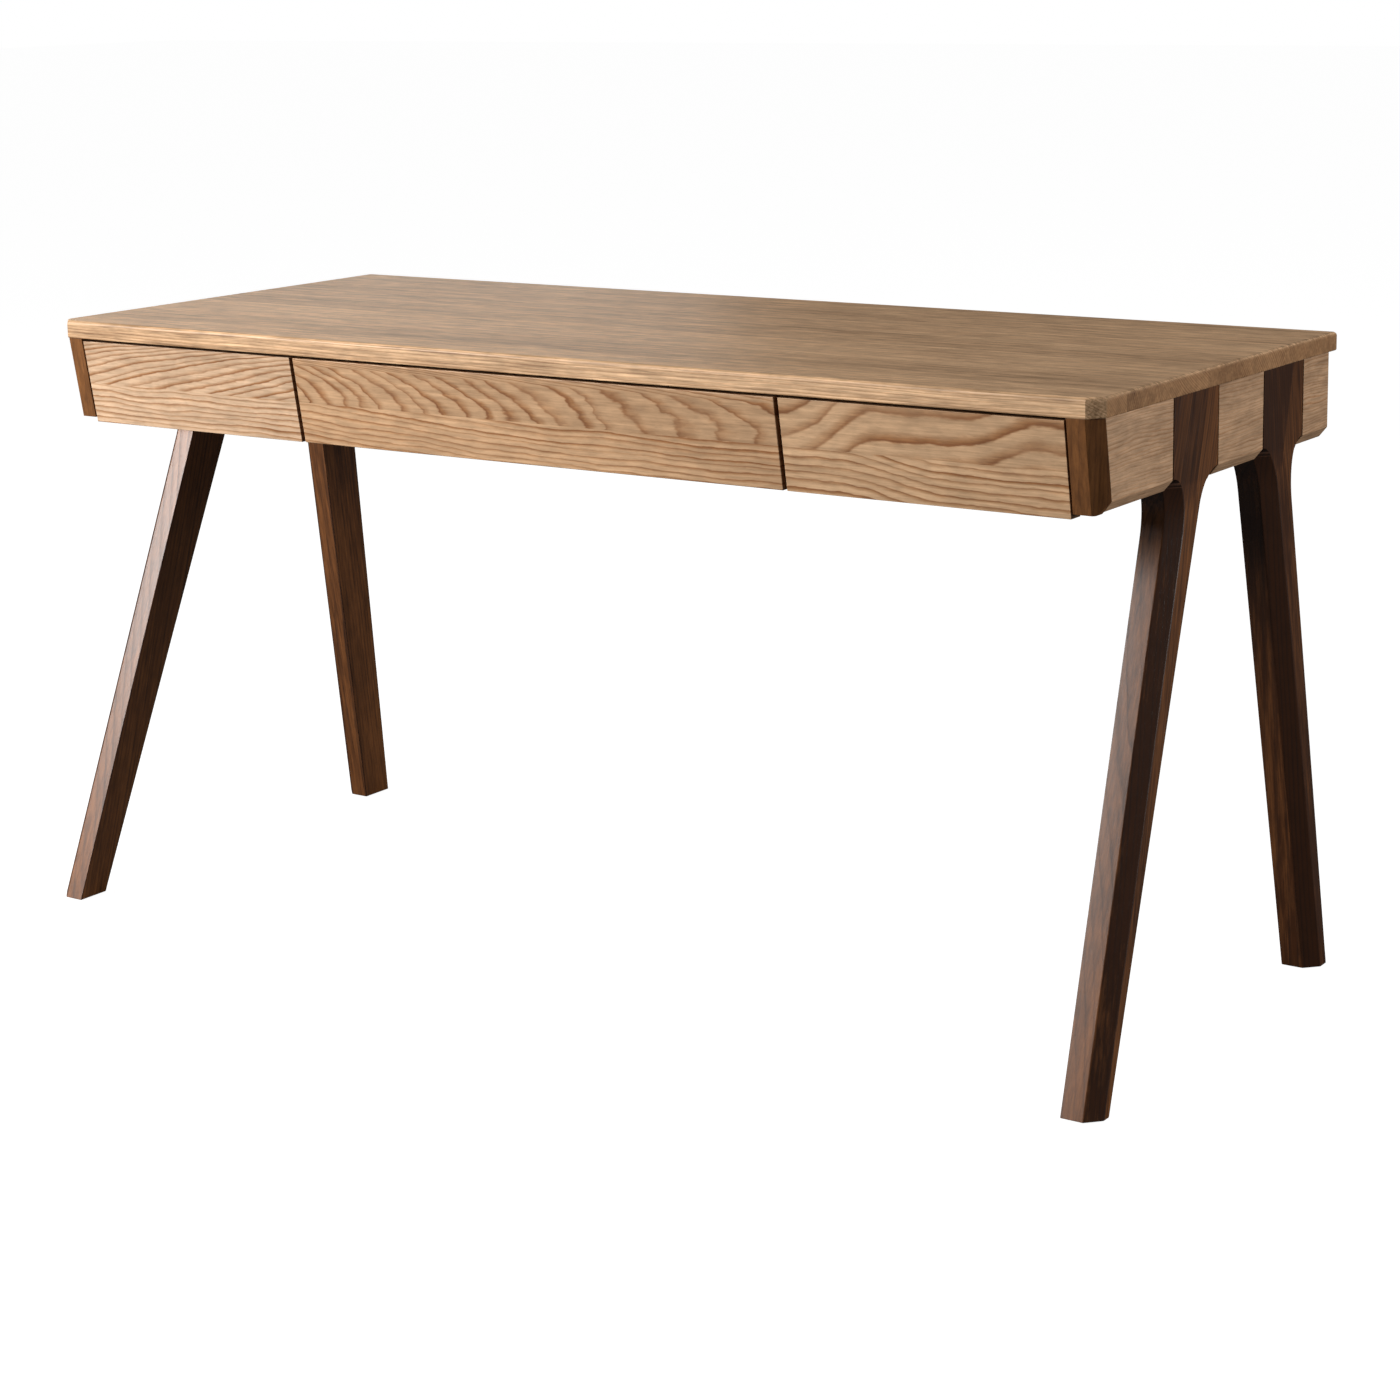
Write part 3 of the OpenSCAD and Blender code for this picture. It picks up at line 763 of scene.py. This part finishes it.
def metal(name, colour, rough, scratches):
    """Plated metal with a fine brushed grain."""
    graph = Graph(name)
    x, y, z = graph.place()
    brushed = graph.noise(x * 900, y * 30, z * 900, detail=3.0, rough=0.6)
    cloud = graph.noise(x * 40, y * 20, z * 40, detail=2.0)
    dark = tuple(c * 0.72 for c in colour)
    shade = brushed * 0.5 + cloud * 0.5
    graph.set("Base Color", graph.blend(shade, dark, colour))
    graph.set("Metallic", 1.0)
    graph.set("Roughness", rough + (brushed - 0.5) * 0.2)
    graph.bump(brushed, scratches * MM)
    return graph.material


def felt_material():
    """Dark felt for the glides under the feet."""
    graph = Graph("felt")
    x, y, z = graph.place()
    fluff = graph.noise(x * 1800, y * 1800, z * 1800, detail=4.0, rough=0.7)
    graph.set("Base Color", graph.blend(fluff, (0.030, 0.026, 0.023), (0.110, 0.098, 0.088)))
    graph.set("Roughness", 0.95)
    graph.set("Specular IOR Level", 0.1)
    graph.bump(fluff, 0.3 * MM)
    return graph.material


steel = metal("zinc_plated_steel", (0.62, 0.63, 0.64), 0.38, 0.02)
brass = metal("brass", (0.78, 0.57, 0.25), 0.35, 0.02)
felt = felt_material()


def paint(node, material):
    """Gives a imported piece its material; its mesh stays as it is."""
    mesh = frame["nodes"][node].data
    mesh.materials.clear()
    mesh.materials.append(material)


for side in ("left", "right"):
    paint("inner_side_" + side, along_y)
    paint("divider_" + side, along_y)
paint("bottom_panel", ply)
for drawer in FRONTS:
    for part in ("side_left", "side_right"):
        refined(f"{drawer}_drawer_{part}", along_y, DRAWER_SIDE_ROUND)
    for part in ("inner_front", "back"):
        paint(f"{drawer}_drawer_{part}", along_x)
    paint(f"{drawer}_drawer_bottom", ply)
    paint(f"{drawer}_drawer_screws", steel)
    for part in ("cabinet_rails", "middle_rails", "drawer_rails"):
        paint(f"{drawer}_slide_{part}", steel)
for node in ("top_brackets", "bracket_screws", "slide_screws", "leg_bolts"):
    paint(node, steel)
paint("leg_inserts", brass)
paint("side_dowels", beech)
paint("foot_glides", felt)
